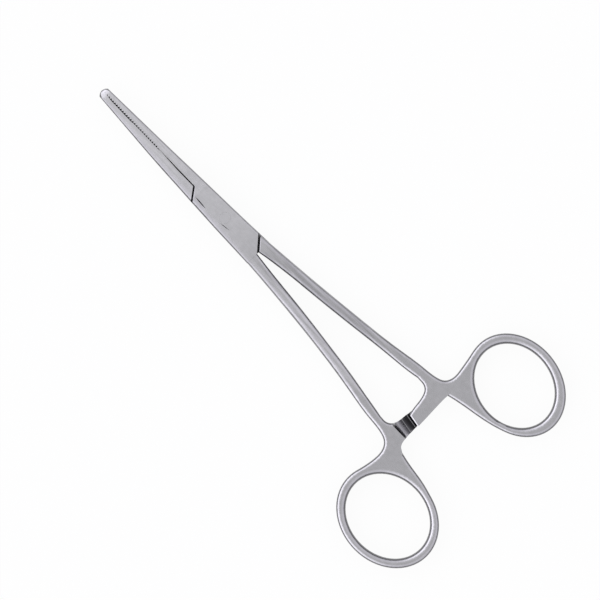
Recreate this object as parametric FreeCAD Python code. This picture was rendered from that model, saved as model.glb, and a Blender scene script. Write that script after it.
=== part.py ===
import FreeCAD
import Part

import math
import os

V = FreeCAD.Vector

# Straight haemostatic forceps with a box lock, closed and lying flat.
# Millimetres. The origin is where the pivot axis meets the underside of the
# box lock. +X runs to the jaw tips, +Y to the ring of the box half, +Z up.

# Thickness, measured along Z
BOX_THICK = 5.2
MID = BOX_THICK / 2
CHEEK_THICK = 1.6
TONGUE_PLAY = 0.04

# How far cutting shapes reach past what they cut, and half the size of the
# boxes that cut the whole instrument
PAST = 12.0
FAR = 60.0

# Cross-sections of the closed front. Each row gives x, the low and the high
# side in y, half the height, the width of the rounding along the low and the
# high side, and how far that rounding drops
BOX_SECTIONS = [
    (-16.0, -3.9, 4.1, MID, 0.8, 0.85, 0.8),
    (-12.0, -3.66, 3.92, MID, 0.7, 1.0, 0.8),
    (0.0, -3.08, 3.68, MID, 0.5, 1.6, 0.9),
    (9.0, -2.72, 3.38, MID, 0.5, 1.6, 0.9),
]
JAW_SECTIONS = [
    (14.0, -2.5, 3.17, 2.3, 0.5, 1.5, 0.85),
    (28.0, -1.9, 2.55, 1.72, 0.45, 1.2, 0.75),
    (42.0, -1.35, 1.7, 1.2, 0.4, 0.8, 0.55),
    (45.3, -1.2, 1.52, 1.08, 0.4, 0.7, 0.5),
]

# Rounded tips: a nose seen from the side, and the half axes of an egg shape
# that rounds the corners
TIP_X = 44.3
TIP_Y = 0.15
TIP_HALF = 1.2
NOSE_LENGTH = 2.4
NOSE_DROP = 1.12
TIP_BALL = (2.9, 2.2, 1.7)

# Line where the closed jaws meet: plain near the box, then serrated
SPLIT_Y = -0.06
JAW_FIT = 0.015
TEETH_FROM_X = 24.0
TEETH_PITCH = 0.71
TEETH_DEPTH = 0.42

# Rebate along the upper and lower edge of that line: x and width
REBATE = [(17.0, 0.36), (23.2, 0.1), (24.0, 0.22), (32.6, 0.24), (34.0, 0.34), (41.0, 0.3), (42.6, 0.05)]
REBATE_DEPTH = 1.3

# Slanted shoulder lines between the cheeks and the tongue half
FRONT_SHOULDER = ((8.6, 3.35), (11.2, SPLIT_Y))
REAR_SHOULDER = ((-12.2, 0.35), (-8.9, -3.3))
FRONT_GAP = 0.48
REAR_GAP = 0.6
BREAK_WIDTH = 0.24
BREAK_DEPTH = 0.15
SHOULDER_CORNER = 0.8

# Window through the box half: its front and rear ends in plan
WINDOW_FRONT = ((11.3, SPLIT_Y), (9.6, -4.2))
WINDOW_REAR = ((-12.15, 0.45), (-10.6, 4.8))
WINDOW_PLAY = 0.2
TONGUE_INTO_JAW = 13.0
TONGUE_INTO_SHANK = -14.5
TONGUE_AT_CROTCH = -0.6

# Short tapered marks on the upper cheek: middle, direction in degrees, depth
MARKS = [((7.0, 1.83), -3.0, 0.15), ((-1.5, 1.62), 9.0, 0.09)]
MARK_RADIUS = 14.0
MARK_WIDTH = 0.4

# Pivot
PIN_RADIUS = 1.4
BORE_PLAY = 0.05
PIN_BREAK = 0.015

# Arms: shank, neck and finger ring, thinner towards the ring. Ring walls
# below ROUNDED_WALL take smaller roundings in proportion
ARM_HALF_AT_BOX = 2.57
ARM_HALF_AT_RING = 1.5
ARM_BOX_X = -12.0
ARM_RING_X = -96.0
ARM_ROUND = 0.85
HOLE_ROUND = 1.15
ROUNDED_WALL = 1.95
NECK_X = -57.0
NECK_OVERLAP = 0.6
NECK_STEP = 0.02

# Cross-sections of the shanks: x, rounding on the outer and the inner side,
# and its drop
SHANK_SECTIONS = [
    (-9.5, 0.9, 0.5, 0.8),
    (-12.5, 1.0, 0.55, 0.8),
    (-18.0, 1.3, 1.0, 0.95),
    (-23.0, 1.4, 1.2, 1.0),
    (-28.0, 1.45, 1.3, 1.05),
    (-34.0, 1.42, 1.33, 1.0),
    (-40.0, 1.35, 1.28, 0.98),
    (-45.0, 1.2, 1.16, 0.95),
    (-50.0, 1.04, 1.02, 0.9),
    (-54.0, 0.92, 0.92, 0.87),
]

# Outlines of the arms: along the shank as places, near the ring as offsets
# from the ring's front point (outer side) and from its lowest point (inner side)
BOX_ARM = {
    "outer": [(-9, 3.78), (-12, 3.88), (-18, 4.22), (-28, 4.92), (-40, 6.02), (-52, 7.58), (-61, 8.8)],
    "outer_at_ring": [(2.32, -13.22), (-0.08, -12.1), (-1.13, -10.1), (-1.23, -7.5)],
    "ring_centre": (-81.77, 22.5),
    "ring_half": (13.95, 11.7),
    "ring_wall": (2.49, 2.1),
    "hole_shift": (0.01, -0.08),
    "tilt": 0.0,
    "ring_from": -12,
    "ring_to": 252,
    "inner_at_ring": [(-0.23, -0.46), (5.77, -1.34), (12.77, -2.95)],
    "inner": [(-62, 6.3), (-57.5, 5.58), (-52, 4.7), (-40, 3.16), (-28, 1.9), (-18, 1.08), (-12.3, 0.52), (-9, 0.26)],
}

TONGUE_ARM = {
    "outer": [(-9, 3.4), (-12, 3.66), (-18, 4.24), (-28, 5.24), (-40, 6.66), (-52, 8.24), (-61, 9.72)],
    "outer_at_ring": [(1.38, -13.04), (-0.72, -12.0), (-1.62, -9.9), (-1.42, -7.4), (-0.62, -3.4)],
    "ring_centre": (-80.5, 23.4),
    "ring_half": (13.92, 11.2),
    "ring_wall": (2.72, 1.95),
    "hole_shift": (0.25, -0.45),
    "tilt": 5.8,
    "ring_from": -4,
    "ring_to": 238,
    "inner_at_ring": [(-3.5, 0.0), (1.5, -1.2), (6.5, -2.15), (12.5, -3.7)],
    "inner": [(-62, 6.85), (-52, 5.42), (-40, 3.8), (-28, 2.3), (-18, 1.05), (-12.4, 0.1), (-9, -0.7)],
}

# Ratchet bars: the tongue half's bar lies on top of the box half's bar.
# Their outlines are given from the middle of the ratchet
RATCHET_X = -69.0
RATCHET_PLAY = 0.03
RATCHET_PITCH = 1.65
RATCHET_DEPTH = 0.85
RATCHET_LAND = 0.15
RATCHET_UNDERCUT = 0.12
RATCHET_SLANT = -8.0
BAR_ROUND = 0.8
BAR_STEP = 1.9
BAR_STEP_CROWN = 0.25

BOX_BAR = {
    "front": [(8.0, 7.2), (6.8, 6.42), (5.0, 6.45), (4.1, 6.22), (3.4, 5.75), (2.85, 5.0), (2.5, 4.0), (2.35, 2.8),
              (2.1, 0.8)],
    "end": [(1.8, -3.5), (1.4, -3.9), (-1.1, -3.9), (-1.45, -3.5)],
    "rear": [(-1.85, 5.4), (-2.05, 7.0), (-2.6, 8.05), (-3.45, 8.6), (-4.1, 9.05), (-4.45, 9.9)],
    "inside": [(0, 9.0)],
    "step_y": 5.05,
}

TONGUE_BAR = {
    "front": [(8.5, -7.9), (6.6, -6.85), (4.8, -6.75), (3.6, -6.05), (2.95, -4.9), (2.4, -2.3), (2.0, 0.1)],
    "end": [(1.85, 0.75), (1.65, 0.92), (-1.6, 1.4), (-1.85, 1.2)],
    "rear": [(-1.8, 0.0), (-1.55, -4.4), (-1.4, -8.4), (-1.45, -9.9)],
    "inside": [(1, -9.9)],
    "step_y": -6.1,
}

BOX_TEETH_FROM_Y = 5.2
BOX_TEETH = 5
TONGUE_TEETH_FROM_Y = 0.45
TONGUE_TEETH = 3


# Lines, outlines and plates

def plan(points):
    return [V(x, y, 0) for x, y in points]


def edges_of(points):
    return [Part.LineSegment(a, b).toShape() for a, b in zip(points, points[1:])]


def curve(points, start=None, end=None):
    spline = Part.BSplineCurve()
    if start is None:
        spline.interpolate(Points=points)
    else:
        spline.interpolate(Points=points, InitialTangent=start, FinalTangent=end)
    return spline


def slab(edges, low, high):
    """Plate between two heights over a closed outline in plan."""
    wire = Part.Wire(Part.__sortEdges__(edges))
    face = Part.Face(wire)
    face.translate(V(0, 0, low))
    return face.extrude(V(0, 0, high - low))


def polygon(points, low=-PAST, high=BOX_THICK + PAST):
    corners = plan(points)
    return slab(edges_of(corners + corners[:1]), low, high)


def shifted(line, distance):
    """A line moved sideways, to the right of its own direction."""
    (x0, y0), (x1, y1) = line
    length = math.hypot(x1 - x0, y1 - y0)
    dx = (y1 - y0) / length * distance
    dy = -(x1 - x0) / length * distance
    return (x0 + dx, y0 + dy), (x1 + dx, y1 + dy)


def beyond(a, b):
    """Point that lies past b on the way from a."""
    length = math.hypot(b[0] - a[0], b[1] - a[1])
    return (b[0] + (b[0] - a[0]) / length * PAST, b[1] + (b[1] - a[1]) / length * PAST)


def at_level(line, y):
    """Point of a slanted line at a given y."""
    (x0, y0), (x1, y1) = line
    return (x0 + (x1 - x0) * (y - y0) / (y1 - y0), y)


def round_upright(prism, corner, radius):
    """Rounds the upright edge of a plate at one corner of its outline."""
    x, y = corner
    chosen = [e for e in prism.Edges if all(math.hypot(v.X - x, v.Y - y) < radius / 10 for v in e.Vertexes)]
    return prism.makeFillet(radius, chosen)


# Cross-sections

def quarter(start, corner, end):
    """Quarter of an ellipse that is tangent to both sides of its corner."""
    spline = Part.BSplineCurve()
    spline.buildFromPolesMultsKnots([start, corner, end], [3, 3], [0, 1], False, 2, [1, math.sqrt(0.5), 1])
    return spline.toShape()


def section(x, low, high, half, low_round, high_round, drop):
    """Flat top and bottom, upright sides and elliptical corners."""
    edges = []
    for side, across, way in ((high, high_round, 1), (low, low_round, -1)):
        top_flat = V(x, side - way * across, MID + half)
        top_side = V(x, side, MID + half - drop)
        low_side = V(x, side, MID - half + drop)
        low_flat = V(x, side - way * across, MID - half)
        edges.append(quarter(top_flat, V(x, side, MID + half), top_side))
        edges.append(Part.LineSegment(top_side, low_side).toShape())
        edges.append(quarter(low_side, V(x, side, MID - half), low_flat))
    for height in (MID + half, MID - half):
        edges.append(Part.LineSegment(V(x, low + low_round, height), V(x, high - high_round, height)).toShape())
    return Part.Wire(Part.__sortEdges__(edges))


# Closed front envelope

def front_envelope():
    box = [section(*row) for row in BOX_SECTIONS]
    jaws = [section(*row) for row in JAW_SECTIONS]
    body = Part.makeLoft(box + jaws[:1], True, True)
    body = body.fuse(Part.makeLoft(jaws, True, False))
    return body.common(tip_profile()).cut(tip_corners())


def tip_corners():
    """What an egg-shaped rounding takes off the tips."""
    length, width, height = TIP_BALL
    centre = V(TIP_X - length, TIP_Y, MID)
    egg = Part.makeSphere(1).transformGeometry(FreeCAD.Matrix(
        length, 0, 0, centre.x, 0, width, 0, centre.y, 0, 0, height, centre.z, 0, 0, 0, 1))
    return Part.makeBox(PAST, 2 * PAST, 2 * PAST, centre - V(0, PAST, PAST)).cut(egg)


def tip_profile():
    """Seen from the side: straight up to the nose, which falls to the tip."""
    top = V(TIP_X - NOSE_LENGTH, -PAST, MID + TIP_HALF)
    edge = V(TIP_X, -PAST, MID + TIP_HALF - NOSE_DROP)
    low_edge = V(TIP_X, -PAST, MID - TIP_HALF + NOSE_DROP)
    bottom = V(TIP_X - NOSE_LENGTH, -PAST, MID - TIP_HALF)
    rear_x = BOX_SECTIONS[0][0] - PAST
    outline = [
        quarter(top, V(TIP_X, -PAST, MID + TIP_HALF), edge),
        quarter(low_edge, V(TIP_X, -PAST, MID - TIP_HALF), bottom),
    ]
    outline += edges_of([edge, low_edge])
    outline += edges_of([bottom, V(bottom.x, -PAST, -PAST), V(rear_x, -PAST, -PAST),
                         V(rear_x, -PAST, BOX_THICK + PAST), V(top.x, -PAST, BOX_THICK + PAST), top])
    return Part.Face(Part.Wire(Part.__sortEdges__(outline))).extrude(V(0, 2 * PAST, 0))


# Regions in plan that share the envelope out between the halves

def jaw_face(offset):
    """Inner jaw line from the box to the tip: plain, then serrated."""
    points = [(TEETH_FROM_X, SPLIT_Y + offset)]
    x = TEETH_FROM_X
    while x < TIP_X + TEETH_PITCH:
        points.append((x + TEETH_PITCH / 2, SPLIT_Y + TEETH_DEPTH / 2 + offset))
        points.append((x + TEETH_PITCH, SPLIT_Y - TEETH_DEPTH / 2 + offset))
        x += TEETH_PITCH
    return points


def box_region():
    front = shifted(FRONT_SHOULDER, FRONT_GAP / 2)
    rear_a, rear_b = shifted(REAR_SHOULDER, -REAR_GAP / 2)
    corner = at_level(front, SPLIT_Y - JAW_FIT)
    face = jaw_face(-JAW_FIT)
    points = [beyond(corner, front[0]), corner] + face
    points += [(face[-1][0], -PAST), beyond(rear_a, rear_b), rear_a, (rear_a[0], PAST)]
    return round_upright(polygon(points), corner, SHOULDER_CORNER - FRONT_GAP / 2)


def jaw_region():
    front = shifted(FRONT_SHOULDER, -FRONT_GAP / 2)
    corner = at_level(front, SPLIT_Y + JAW_FIT)
    face = jaw_face(JAW_FIT)
    points = [beyond(corner, front[0]), corner] + face + [(face[-1][0], PAST)]
    return round_upright(polygon(points), corner, SHOULDER_CORNER + FRONT_GAP / 2)


def box_side():
    """Everything on the box side of the tongue half's rear shoulder."""
    rear_a, rear_b = shifted(REAR_SHOULDER, REAR_GAP / 2)
    return polygon([beyond(rear_b, rear_a), beyond(rear_a, rear_b), (PAST, -PAST), (PAST, PAST)])


def rebate(way):
    """Step along the jaw line, in the upper or the lower face."""
    start = at_level(shifted(FRONT_SHOULDER, FRONT_GAP / 2), SPLIT_Y)[0]
    x0, half0 = start, JAW_SECTIONS[0][3]
    x1, half1 = JAW_SECTIONS[-1][0], JAW_SECTIONS[-1][3]
    profile = [V(x, -PAST, MID + way * z) for x, z in (
        (x0, half0 - REBATE_DEPTH), (x1, half1 - REBATE_DEPTH / 2), (x1, PAST), (x0, PAST))]
    wedge = Part.Face(Part.Wire(edges_of(profile + profile[:1]))).extrude(V(0, 2 * PAST, 0))
    edge = [(x, SPLIT_Y + width) for x, width in REBATE]
    low = SPLIT_Y - TEETH_DEPTH
    strip = polygon([(x0, low), (x0, edge[0][1])] + edge + [(edge[-1][0], low)])
    return wedge.common(strip)


def groove(line, gap, face_height, way):
    """Break of the edge to the right of a line, past a gap centred on it."""
    start = V(line[0][0], line[0][1], face_height)
    run = V(line[1][0], line[1][1], face_height) - start
    across = V(-run.y, run.x, 0).normalize()
    far = start + across * (gap / 2)
    depth = V(0, 0, way * BREAK_DEPTH)
    corners = [far + depth, far - depth * ((gap + BREAK_WIDTH) / BREAK_WIDTH),
               start - across * (gap / 2 + 2 * BREAK_WIDTH) + depth]
    return Part.Face(Part.Wire(edges_of(corners + corners[:1]))).extrude(run)


def grooves():
    front_end, front_corner = FRONT_SHOULDER
    rear_corner, rear_end = REAR_SHOULDER
    cutters = []
    for face_height, way in ((BOX_THICK, 1), (0, -1)):
        cutters.append(groove((beyond(front_corner, front_end), front_corner), FRONT_GAP, face_height, way))
        cutters.append(groove((rear_corner, beyond(rear_corner, rear_end)), REAR_GAP, face_height, way))
    return cutters


# Window through the box half and the tongue that fills it

def window():
    (fx0, fy0), (fx1, fy1) = WINDOW_FRONT
    (rx0, ry0), (rx1, ry1) = WINDOW_REAR
    far_x = TONGUE_INTO_SHANK - WINDOW_PLAY
    jaw_x = TONGUE_INTO_JAW + WINDOW_PLAY
    points = [(fx0, fy0), (fx1, fy1), (fx1, -PAST), (far_x, -PAST), (far_x, ry0), (rx0, ry0), (rx1, ry1),
              (rx1, PAST), (jaw_x, PAST), (jaw_x, fy0)]
    return polygon(points, CHEEK_THICK, BOX_THICK - CHEEK_THICK)


def tongue_region():
    (fx0, fy0), (fx1, fy1) = WINDOW_FRONT
    (rx0, ry0), (rx1, ry1) = WINDOW_REAR
    edge_y = SPLIT_Y + JAW_FIT
    points = [(TONGUE_INTO_JAW, edge_y), (fx0 - WINDOW_PLAY, edge_y), (fx1 - WINDOW_PLAY, fy1),
              (TONGUE_INTO_SHANK, fy1), (TONGUE_INTO_SHANK, TONGUE_AT_CROTCH), (rx0 + WINDOW_PLAY, 0.0),
              (rx0 + WINDOW_PLAY, ry0), (rx1 + WINDOW_PLAY, ry1), (TONGUE_INTO_JAW, ry1)]
    return polygon(points, CHEEK_THICK + TONGUE_PLAY, BOX_THICK - CHEEK_THICK - TONGUE_PLAY)


# Arms

def half_height(x):
    share = (ARM_BOX_X - x) / (ARM_BOX_X - ARM_RING_X)
    return ARM_HALF_AT_BOX + (ARM_HALF_AT_RING - ARM_HALF_AT_BOX) * share


def arm_taper():
    """Wedge whose top and bottom faces give the arms their thickness."""
    x0 = 0.0
    x1 = ARM_RING_X - PAST
    h0 = half_height(x0)
    h1 = half_height(x1)
    corners = [V(x0, -FAR, MID + h0), V(x1, -FAR, MID + h1), V(x1, -FAR, MID - h1), V(x0, -FAR, MID - h0)]
    return Part.Face(Part.Wire(edges_of(corners + corners[:1]))).extrude(V(0, 2 * FAR, 0))


def ellipse(centre, half, tilt):
    cx, cy = centre
    a, b = half
    t = math.radians(tilt)
    major = V(cx + a * math.cos(t), cy + a * math.sin(t), 0)
    minor = V(cx - b * math.sin(t), cy + b * math.cos(t), 0)
    return Part.Ellipse(major, minor, V(cx, cy, 0))


def at_x(spline, x):
    """Height in plan of an outline at a given x, by halving its range."""
    low = spline.FirstParameter
    high = spline.LastParameter
    rising = spline.value(high).x > spline.value(low).x
    for _ in range(50):
        middle = (low + high) / 2
        if (spline.value(middle).x < x) == rising:
            low = middle
        else:
            high = middle
    return spline.value(low).y


def arm(dims):
    """Shank, neck and ring, drawn on the +Y side."""
    ring = ellipse(dims["ring_centre"], dims["ring_half"], dims["tilt"])
    start = math.radians(dims["ring_from"])
    stop = math.radians(dims["ring_to"])
    cx, cy = dims["ring_centre"]
    a, b = dims["ring_half"]
    outer = plan(dims["outer"] + [(cx + a + x, cy + y) for x, y in dims["outer_at_ring"]]) + [ring.value(start)]
    inner = [ring.value(stop)] + plan([(cx + x, cy - b + y) for x, y in dims["inner_at_ring"]] + dims["inner"])
    outer_line = curve(outer, (outer[1] - outer[0]).normalize(), ring.tangent(start)[0])
    inner_line = curve(inner, ring.tangent(stop)[0], (inner[-1] - inner[-2]).normalize())
    outline = [outer_line.toShape(), Part.ArcOfEllipse(ring, start, stop).toShape(), inner_line.toShape()]
    outline += edges_of([inner[-1], outer[0]])
    blank = slab(outline, -PAST, BOX_THICK + PAST).common(arm_taper()).cut(ring_hole(dims))
    neck = rounded(behind(blank, NECK_X + PAST), dims)
    return behind(neck, NECK_X).fuse(shank(outer_line, inner_line))


def behind(body, x):
    """The part of a body on the ring side of x."""
    return body.common(Part.makeBox(2 * FAR, 2 * FAR, 2 * PAST, V(x - 2 * FAR, -FAR, MID - PAST)))


def hole_place(dims):
    centre = [c + s for c, s in zip(dims["ring_centre"], dims["hole_shift"])]
    half = [h - w for h, w in zip(dims["ring_half"], dims["ring_wall"])]
    return centre, half


def ring_hole(dims):
    centre, half = hole_place(dims)
    return slab([ellipse(centre, half, dims["tilt"]).toShape()], -PAST, BOX_THICK + PAST)


def long_edges(body, dims, at_hole):
    """Long edges of the top and bottom faces: the hole's rims, or all others."""
    (cx, cy), (a, b) = hole_place(dims)
    reach = min(dims["ring_wall"])
    found = []
    for edge in body.Edges:
        box = edge.BoundBox
        if box.ZLength < ARM_HALF_AT_RING and box.XLength > ARM_ROUND:
            far_x = abs(box.Center.x - cx) + box.XLength / 2
            far_y = abs(box.Center.y - cy) + box.YLength / 2
            if (far_x < a + reach and far_y < b + reach) == at_hole:
                found.append(edge)
    return found


def rounded(blank, dims):
    """Rounds the rims of the hole, then the outer edges."""
    share = min(1, min(dims["ring_wall"]) / ROUNDED_WALL)
    body = blank.makeFillet(HOLE_ROUND * share, long_edges(blank, dims, True))
    return body.makeFillet(ARM_ROUND * share, long_edges(body, dims, False))


def shank(outer_line, inner_line):
    """Oval shank from inside the box to just inside the neck."""
    rows = SHANK_SECTIONS + [(NECK_X - NECK_OVERLAP, ARM_ROUND, ARM_ROUND, ARM_ROUND)]
    sections = []
    for x, outer_round, inner_round, drop in rows:
        low = at_x(inner_line, x) + NECK_STEP
        high = at_x(outer_line, x) - NECK_STEP
        sections.append(section(x, low, high, half_height(x) - NECK_STEP, inner_round, outer_round, drop))
    return Part.makeLoft(sections, True, False)


# Ratchet bars

def from_ratchet(points):
    return [V(RATCHET_X + x, y, 0) for x, y in points]


def bar(dims, level, way):
    """Bar of full thickness at its root, stepped down to the ratchet level."""
    front = curve(from_ratchet(dims["front"]))
    rear = curve(from_ratchet(dims["rear"]))
    links = edges_of([front.value(front.LastParameter)] + from_ratchet(dims["end"])
                     + [rear.value(rear.FirstParameter)])
    back = edges_of([rear.value(rear.LastParameter)] + from_ratchet(dims["inside"])
                    + [front.value(front.FirstParameter)])
    outline = [front.toShape()] + links + [rear.toShape()] + back
    blank = slab(outline, -PAST, BOX_THICK + PAST).common(arm_taper())
    soft = []
    for edge in blank.Edges:
        box = edge.BoundBox
        if box.ZLength < BAR_ROUND and box.XMin > RATCHET_X and box.YLength > 2 * BAR_STEP:
            soft.append(edge)
    blank = blank.makeFillet(BAR_ROUND, soft)
    end = [(RATCHET_X + x, y) for x, y in dims["end"][1:3]][::way]
    line = (beyond(end[1], end[0]), beyond(end[0], end[1]))
    end_break = groove(line, 0, MID - way * half_height(RATCHET_X), -way)
    return blank.cut([end_break, bar_step(dims["step_y"], level, way)])


def bar_step(step_y, level, way):
    """What lies past the ratchet level, ended by a crowned slope at the root."""
    x = RATCHET_X - PAST
    foot = V(x, step_y, level)
    brow = V(x, step_y + way * BAR_STEP, level + way * 2 * ARM_HALF_AT_RING)
    middle = (foot + brow) * 0.5 + V(0, -way * BAR_STEP_CROWN, way * BAR_STEP_CROWN)
    edges = [Part.Arc(foot, middle, brow).toShape()]
    edges += edges_of([brow, V(x, brow.y, level + way * PAST), V(x, step_y - way * PAST, level + way * PAST),
                       V(x, step_y - way * PAST, level), foot])
    return Part.Face(Part.Wire(Part.__sortEdges__(edges))).extrude(V(2 * PAST, 0, 0))


def notch(y, level, way):
    """Saw-tooth groove across a bar: one steep face, one long slope."""
    deep = level - way * RATCHET_DEPTH
    x = RATCHET_X - PAST / 2
    corners = [
        V(x, y - way * RATCHET_LAND, level + way),
        V(x, y - way * RATCHET_LAND, level),
        V(x, y - way * (RATCHET_PITCH - RATCHET_UNDERCUT), deep),
        V(x, y - way * RATCHET_PITCH, level),
        V(x, y - way * RATCHET_PITCH, level + way),
    ]
    cutter = Part.Face(Part.Wire(edges_of(corners + corners[:1]))).extrude(V(PAST, 0, 0))
    cutter.rotate(V(RATCHET_X, y, 0), V(0, 0, 1), RATCHET_SLANT)
    return cutter


def box_bar():
    level = MID - RATCHET_PLAY
    body = bar(BOX_BAR, level, 1)
    for i in range(BOX_TEETH):
        body = body.cut(notch(BOX_TEETH_FROM_Y - i * RATCHET_PITCH, level, 1))
    return body


def tongue_bar():
    level = MID + RATCHET_PLAY
    body = bar(TONGUE_BAR, level, -1)
    for i in range(TONGUE_TEETH):
        body = body.cut(notch(TONGUE_TEETH_FROM_Y - (i + 1) * RATCHET_PITCH, level, -1))
    return body


# The three pieces

def mark(place, direction, depth):
    """Thin disc on edge, whose lowest part dips into the upper cheek."""
    disc = Part.makeCone(MARK_RADIUS, MARK_RADIUS - MARK_WIDTH / 2, MARK_WIDTH / 2)
    disc = disc.fuse(disc.mirror(V(0, 0, 0), V(0, 0, 1)))
    disc.rotate(V(0, 0, 0), V(1, 0, 0), 90)
    disc.rotate(V(0, 0, 0), V(0, 0, 1), direction)
    disc.translate(V(place[0], place[1], BOX_THICK + MARK_RADIUS - depth))
    return disc


def box_half(envelope):
    body = envelope.common(box_region()).cut(grooves())
    body = body.fuse([arm(BOX_ARM), box_bar()])
    body = body.cut([window(), Part.makeCylinder(PIN_RADIUS, BOX_THICK + PAST, V(0, 0, -PAST / 2))])
    return body.cut([mark(*row) for row in MARKS])


def tongue_half(envelope):
    jaw = envelope.common(jaw_region()).cut([rebate(1), rebate(-1)])
    tongue_arm = arm(TONGUE_ARM).mirror(V(0, 0, 0), V(0, 1, 0)).cut(box_side())
    body = jaw.fuse(tongue_arm).cut(grooves())
    body = body.fuse([envelope.common(tongue_region()), tongue_bar()])
    return body.cut(Part.makeCylinder(PIN_RADIUS + BORE_PLAY, BOX_THICK + PAST, V(0, 0, -PAST / 2)))


def pivot_pin():
    pin = Part.makeCylinder(PIN_RADIUS, BOX_THICK)
    rims = [edge for edge in pin.Edges if edge.Closed]
    return pin.makeChamfer(PIN_BREAK, rims)


def main():
    os.makedirs("parts", exist_ok=True)
    envelope = front_envelope()
    pieces = {"box_half": box_half(envelope), "tongue_half": tongue_half(envelope), "pivot_pin": pivot_pin()}
    for name, shape in pieces.items():
        print(name, len(shape.Solids), shape.isValid(), round(shape.Volume, 2), shape.BoundBox)
        shape.exportStep("parts/" + name + ".step")


main()
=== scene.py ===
import bpy
from mathutils import Matrix, Vector

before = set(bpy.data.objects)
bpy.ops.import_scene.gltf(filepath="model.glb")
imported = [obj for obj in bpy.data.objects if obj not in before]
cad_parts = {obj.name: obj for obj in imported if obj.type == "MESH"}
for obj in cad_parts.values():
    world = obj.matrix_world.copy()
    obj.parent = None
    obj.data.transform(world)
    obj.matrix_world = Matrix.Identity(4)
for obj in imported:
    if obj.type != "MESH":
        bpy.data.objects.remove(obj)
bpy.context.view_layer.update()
scene = bpy.context.scene
scene.view_settings.view_transform = "Standard"

MM = 0.001

# Satin steel: its colour and roughness, how far away a wall still darkens
# a gap with painted shade, and how much colour that painted shade leaves
STEEL = (0.598, 0.594, 0.616)
ROUGHNESS = 0.27
CREVICE_REACH = 1.1 * MM
CREVICE_LEFT = 0.03

# Painted shade on upright flanks, for the dark lines along the edges: how much
# of the colour is left at the rings, along the shanks, and how much less at the box and the jaws
FLANK_AT_RINGS = 0.34
FLANK_AT_SHANKS = 0.66
FLANK_LOSS_AT_JAWS = 0.18

# How much brighter the flats are at the box, and on top of that at the jaws
BOX_GAIN = 0.24
JAW_GAIN = 0.14

# Ground shanks and jaws: the depth of the streaks, the difference between the
# two shanks, and how much painted shade darkens the sides towards +Y
STREAKS = 0.13
SHANK_CONTRAST = 0.08
SIDE_SHADE = 0.36

# Middle and half size of the ratchet, which lies across the instrument, the
# height of its middle, and the loss of colour to painted shade on its slopes and flats
RATCHET = (-69.0 * MM, 1.2 * MM)
RATCHET_HALF = (4.0 * MM, 4.6 * MM)
RATCHET_MID = 2.6 * MM
SLOPE_LOSS = 0.8
FLAT_LOSS = 0.4

# Studio: the share of the floor that is seen as plain white, the direction of
# the brighter side, half way between the jaws and the box half's ring, and the
# strength of its softbox and of the softbox's middle
FLOOR_GLOW = 0.94
BRIGHT_SIDE = (0.7071, 0.7071, 0.0)
SOFTBOX = 0.95
SOFTBOX_MIDDLE = 0.9

# Colour of the surroundings from the floor (0) to straight overhead (1)
WALL = [
    (0.0, (0.3, 0.3, 0.32)),
    (0.14, (0.42, 0.42, 0.44)),
    (0.34, (0.66, 0.65, 0.69)),
    (0.6, (0.8, 0.79, 0.84)),
    (0.86, (0.78, 0.77, 0.81)),
    (0.95, (0.66, 0.655, 0.67)),
    (0.985, (0.59, 0.59, 0.595)),
    (1.0, (0.58, 0.58, 0.585)),
]

# Camera: its directions, the middle of the picture, its distance and the width
# that it shows there
CAMERA_RIGHT = (-0.6936, -0.7204, 0.0)
CAMERA_UP = (0.7204, -0.6936, 0.0)
CAMERA_CENTRE = (-27.69 * MM, 0.77 * MM, 2.6 * MM)
CAMERA_DISTANCE = 1.5
CAMERA_WIDTH = 149.76 * MM


class Graph:
    """Short names for building a node tree."""

    def __init__(self, tree):
        self.nodes = tree.nodes
        self.links = tree.links
        self.nodes.clear()

    def put(self, node, key, value):
        socket = node.inputs[key]
        if isinstance(value, bpy.types.NodeSocket):
            self.links.new(value, socket)
        else:
            socket.default_value = value

    def add(self, kind, **inputs):
        node = self.nodes.new(kind)
        for name, value in inputs.items():
            self.put(node, name.replace("_", " "), value)
        return node

    def math(self, operation, *values):
        node = self.nodes.new("ShaderNodeMath")
        node.operation = operation
        for index, value in enumerate(values):
            self.put(node, index, value)
        return node.outputs[0]

    def vector(self, operation, *values):
        node = self.nodes.new("ShaderNodeVectorMath")
        node.operation = operation
        for index, value in enumerate(values):
            self.put(node, index, value)
        return node

    def span(self, value, low, high, to_low=0.0, to_high=1.0):
        """Maps low..high smoothly to to_low..to_high."""
        node = self.nodes.new("ShaderNodeMapRange")
        node.interpolation_type = "SMOOTHSTEP"
        for index, item in enumerate((value, low, high, to_low, to_high)):
            self.put(node, index, item)
        return node.outputs[0]

    def ramp(self, factor, stops):
        node = self.nodes.new("ShaderNodeValToRGB")
        self.links.new(factor, node.inputs[0])
        elements = node.color_ramp.elements
        while len(elements) > 1:
            elements.remove(elements[0])
        for index, (position, value) in enumerate(stops):
            element = elements[0] if index == 0 else elements.new(position)
            element.position = position
            element.color = (value[0], value[1], value[2], 1)
        return node.outputs[0]

    def scaled(self, colour, factor):
        node = self.vector("SCALE", colour)
        self.put(node, "Scale", factor)
        return node.outputs[0]

    def noise(self, vector, scale, detail, roughness):
        return self.add("ShaderNodeTexNoise", Vector=vector, Scale=scale, Detail=detail,
                        Roughness=roughness).outputs["Fac"]

    def stretched(self, vector, scale):
        return self.add("ShaderNodeMapping", Vector=vector, Scale=scale).outputs[0]


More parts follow.
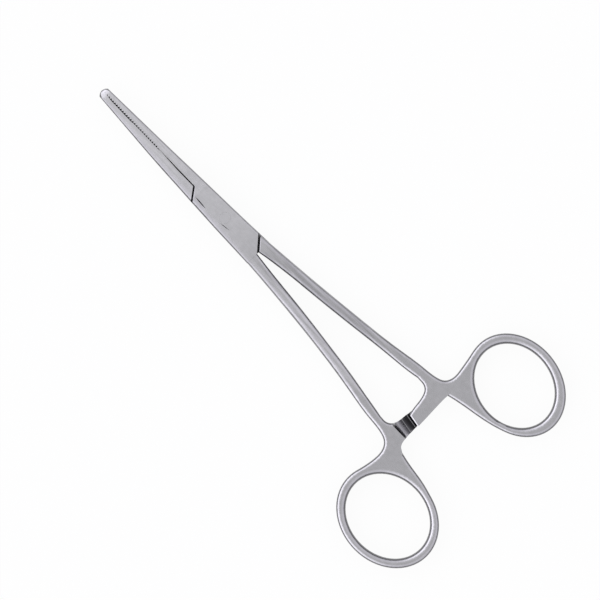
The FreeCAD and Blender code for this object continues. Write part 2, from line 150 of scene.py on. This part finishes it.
def ratchet_zone(g, place):
    """1 between the two ratchet bars, 0 elsewhere."""
    inside = 1.0
    for axis in (0, 1):
        offset = g.math("ABSOLUTE", g.math("SUBTRACT", place.outputs[axis], RATCHET[axis]))
        part = g.span(offset, RATCHET_HALF[axis], RATCHET_HALF[axis] + 0.3 * MM, 1.0, 0.0)
        inside = g.math("MULTIPLY", part, inside)
    height = g.math("ABSOLUTE", g.math("SUBTRACT", place.outputs[2], RATCHET_MID))
    return g.math("MULTIPLY", inside, g.span(height, 0.9 * MM, 1.1 * MM, 1.0, 0.0))


def painted_ratchet_shade(g, place, normal, zone):
    """Painted shade between the bars: what is left of the colour, least on the slopes of the inner teeth."""
    steep = g.span(g.math("ABSOLUTE", normal.outputs[1]), 0.12, 0.35)
    loss = g.math("MULTIPLY", steep, g.span(place.outputs[1], 2.2 * MM, 5.2 * MM, SLOPE_LOSS, 0.0))
    loss = g.math("MAXIMUM", loss, g.span(steep, 0.0, 1.0, FLAT_LOSS, 0.0))
    return g.math("SUBTRACT", 1.0, g.math("MULTIPLY", zone, loss))


def painted_flank_shade(g, along, level):
    """Painted shade where the surface stands upright: what is left of the colour there."""
    shanks = g.span(along, -56 * MM, -36 * MM, FLANK_AT_RINGS, FLANK_AT_SHANKS)
    upright = g.math("ADD", shanks, g.span(along, -16 * MM, 2 * MM, 0.0, -FLANK_LOSS_AT_JAWS))
    return g.span(level, 0.7, 0.88, upright, 1.0)


def painted_crevice_shade(g):
    """Painted shade deep in the gaps: what is left of the colour there."""
    crevice = g.add("ShaderNodeAmbientOcclusion", Distance=CREVICE_REACH)
    crevice.samples = 8
    return g.span(crevice.outputs["AO"], 0.42, 0.8, CREVICE_LEFT, 1.0)


def flats_streaks_and_side_shade(g, coords, place, normal, level):
    """Brighter flats at the box and jaws, streaks along shanks and jaws, and painted shade on sides towards
    +Y.
    """
    along = place.outputs[0]
    gain = g.math("ADD", g.span(along, -20 * MM, -2 * MM, 0.0, BOX_GAIN),
                  g.span(along, 8 * MM, 44 * MM, 0.0, JAW_GAIN))
    brighter = g.math("MULTIPLY_ADD", gain, g.span(level, 0.95, 0.99), 1.0)
    ground = g.math("MULTIPLY", g.span(along, -62 * MM, -48 * MM), g.span(along, -16 * MM, -8 * MM, 1.0, 0.0))
    ground = g.math("MAXIMUM", ground, g.span(along, 13 * MM, 18 * MM, 0.0, 0.6))
    noise = g.noise(g.stretched(coords, (38, 1500, 900)), 1.0, 2, 0.5)
    streaks = g.span(noise, 0.32, 0.68, -STREAKS, STREAKS)
    side = g.math("MULTIPLY", g.span(place.outputs[1], -2 * MM, 2 * MM, -SHANK_CONTRAST, SHANK_CONTRAST),
                  g.span(along, 0, 8 * MM, 1.0, 0.0))
    brighter = g.math("ADD", brighter, g.math("MULTIPLY", ground, g.math("ADD", streaks, side)))
    # Painted shade: sides facing +Y are darkened from the shanks towards the jaws.
    shade_on_sides = g.math("MULTIPLY", g.span(along, -58 * MM, -42 * MM, 0.0, SIDE_SHADE),
                    g.span(normal.outputs[1], 0.05, 0.35))
    return g.math("MULTIPLY", brighter, g.math("SUBTRACT", 1.0, shade_on_sides))


def satin_steel(name, lines_height):
    """Satin steel with a fine grain, polishing lines along the instrument, and painted shade on flanks, in
    gaps, at the ratchet and on sides towards +Y.
    """
    material = bpy.data.materials.new(name)
    material.use_nodes = True
    g = Graph(material.node_tree)
    source = g.add("ShaderNodeTexCoord")
    coords = source.outputs["Object"]
    normal = g.add("ShaderNodeSeparateXYZ", Vector=source.outputs["Normal"])
    place = g.add("ShaderNodeSeparateXYZ", Vector=coords)
    level = g.math("ABSOLUTE", normal.outputs[2])

    grain = g.noise(coords, 4200, 3, 0.6)
    cloud = g.noise(coords, 700, 4, 0.6)
    lines = g.noise(g.stretched(coords, (70, 3600, 2600)), 1.0, 3, 0.6)
    mottle = g.math("MULTIPLY_ADD", cloud, 0.6, g.math("MULTIPLY", lines, 0.4))
    colour = g.ramp(mottle, [(0.3, [c * 0.93 for c in STEEL]), (0.7, [c * 1.06 for c in STEEL])])

    zone = ratchet_zone(g, place)
    # The colour is darkened here by painted shade: on upright flanks, in gaps, at the ratchet and on sides
    # towards +Y.
    amount = g.math("MAXIMUM", painted_flank_shade(g, place.outputs[0], level), zone)
    for factor in (g.math("MAXIMUM", painted_crevice_shade(g), zone), painted_ratchet_shade(g, place, normal, zone),
                   flats_streaks_and_side_shade(g, coords, place, normal, level)):
        amount = g.math("MULTIPLY", amount, factor)
    colour = g.scaled(colour, amount)

    rough = g.math("MULTIPLY_ADD", grain, 0.1, g.math("MULTIPLY_ADD", cloud, 0.08, ROUGHNESS - 0.09))
    height = g.math("MULTIPLY_ADD", lines, lines_height, grain)
    bump = g.add("ShaderNodeBump", Strength=0.15, Distance=0.008 * MM, Height=height)
    shader = g.add("ShaderNodeBsdfPrincipled", Base_Color=colour, Roughness=rough, Metallic=1.0,
                   Normal=bump.outputs[0])
    g.add("ShaderNodeOutputMaterial", Surface=shader.outputs[0])
    return material


def dress(node, material):
    node.data.materials.clear()
    node.data.materials.append(material)


dress(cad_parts["box_half"], satin_steel("box_half_steel", 0.8))
dress(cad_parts["tongue_half"], satin_steel("tongue_half_steel", 0.8))
dress(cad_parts["pivot_pin"], satin_steel("pivot_pin_steel", 0.3))


def background_ray(g):
    path = g.add("ShaderNodeLightPath")
    seen = g.math("MAXIMUM", path.outputs["Is Camera Ray"], path.outputs["Is Glossy Ray"])
    return g.math("MAXIMUM", seen, path.outputs["Is Transmission Ray"])


def floor_material():
    """Pale paper that is seen as white, with a trace of the instrument's shadow."""
    material = bpy.data.materials.new("floor_white")
    material.use_nodes = True
    g = Graph(material.node_tree)
    paper = g.add("ShaderNodeBsdfDiffuse", Color=(0.9, 0.9, 0.9, 1))
    glow = g.add("ShaderNodeEmission", Color=(1, 1, 1, 1), Strength=1.0)
    blend = g.add("ShaderNodeMixShader")
    g.put(blend, 0, g.math("MULTIPLY", background_ray(g), FLOOR_GLOW))
    g.put(blend, 1, paper.outputs[0])
    g.put(blend, 2, glow.outputs[0])
    g.add("ShaderNodeOutputMaterial", Surface=blend.outputs[0])
    return material


def make_floor():
    bpy.ops.mesh.primitive_circle_add(vertices=96, radius=1.2, fill_type="NGON", location=(-0.03, 0, 0))
    floor = bpy.context.object
    floor.name = "floor"
    floor.data.materials.append(floor_material())


def make_world():
    """Light tent: dimmer overhead, bright walls, dark near the floor, and a softbox on the bright side."""
    world = bpy.data.worlds.new("studio")
    world.use_nodes = True
    scene.world = world
    g = Graph(world.node_tree)
    direction = g.add("ShaderNodeTexCoord").outputs["Generated"]
    height = g.add("ShaderNodeSeparateXYZ", Vector=direction).outputs[2]
    wall = g.ramp(height, WALL)
    toward = g.vector("DOT_PRODUCT", direction, BRIGHT_SIDE).outputs["Value"]
    lit = g.span(toward, -0.05, 0.45)
    band = g.math("MULTIPLY", g.span(height, 0.1, 0.24), g.span(height, 0.8, 0.92, 1.0, 0.0))
    level = g.math("MULTIPLY_ADD", g.math("MULTIPLY", band, lit), SOFTBOX, 1.0)
    core = g.math("MULTIPLY", g.span(height, 0.12, 0.22), g.span(height, 0.5, 0.62, 1.0, 0.0))
    core = g.math("MULTIPLY", core, g.span(toward, 0.45, 0.7))
    level = g.math("MULTIPLY_ADD", core, SOFTBOX_MIDDLE, level)
    path = g.add("ShaderNodeLightPath")
    surround = g.add("ShaderNodeBackground", Color=g.scaled(wall, level), Strength=1.0)
    white = g.add("ShaderNodeBackground", Color=(1, 1, 1, 1), Strength=1.0)
    blend = g.add("ShaderNodeMixShader")
    g.put(blend, 0, path.outputs["Is Camera Ray"])
    g.put(blend, 1, surround.outputs[0])
    g.put(blend, 2, white.outputs[0])
    g.add("ShaderNodeOutputWorld", Surface=blend.outputs[0])


def make_camera():
    """Straight down on the instrument, turned so that the tips point to the upper left."""
    right = Vector(CAMERA_RIGHT).normalized()
    up = Vector(CAMERA_UP).normalized()
    back = right.cross(up)
    camera = bpy.data.cameras.new("camera")
    camera.lens = camera.sensor_width * CAMERA_DISTANCE / CAMERA_WIDTH
    camera.clip_start = 0.01
    camera.clip_end = 20
    holder = bpy.data.objects.new("camera", camera)
    scene.collection.objects.link(holder)
    turn = Matrix((right, up, back)).transposed().to_4x4()
    holder.matrix_world = Matrix.Translation(Vector(CAMERA_CENTRE) + back * CAMERA_DISTANCE) @ turn
    scene.camera = holder


make_floor()
make_world()
make_camera()
